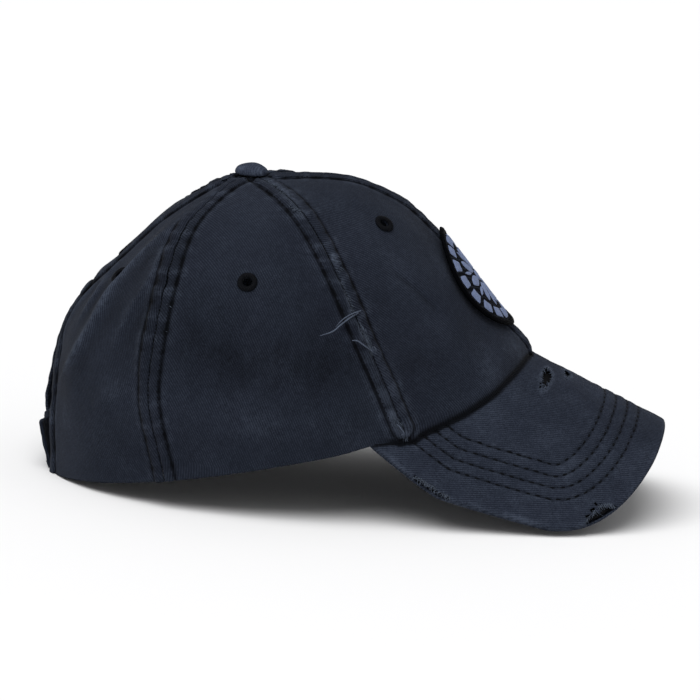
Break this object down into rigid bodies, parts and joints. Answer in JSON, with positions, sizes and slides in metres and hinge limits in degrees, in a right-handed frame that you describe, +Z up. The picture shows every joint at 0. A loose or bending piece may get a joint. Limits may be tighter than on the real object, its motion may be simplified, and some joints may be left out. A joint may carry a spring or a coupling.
{
  "type": "ponytail baseball cap",
  "caption": "Worn soft six-panel cap with a curved visor, a round patch on the front and a strapped ponytail slit in the back.",
  "frame": {"origin": "on the table, under the middle of the cap's box", "axes": "+X towards the tip of the visor, +Y to the wearer's left, +Z up to the button"},
  "size_m": [0.2628, 0.1552, 0.134],
  "materials": {
    "twill": "worn cotton twill, matt",
    "thread": "close black thread",
    "board": "plain sheet",
    "band": "soft cotton, matt",
    "patch": "close embroidery"
  },
  "bodies": {
    "root": {"panel_front_right": "twill", "panel_front_left": "twill", "panel_side_right": "twill", "panel_side_left": "twill", "panel_back_right": "twill", "panel_back_left": "twill", "button": "twill", "eyelet_front_right": "thread", "eyelet_front_left": "thread", "eyelet_side_right": "thread", "eyelet_side_left": "thread", "eyelet_back_right": "thread", "eyelet_back_left": "thread", "visor_top_cloth": "twill", "visor_board": "board", "visor_under_cloth": "twill", "strap_lower": "twill", "strap_upper": "twill", "sweatband": "band", "patch_ground": "patch", "patch_border": "thread"}
  },
  "joints": []
}
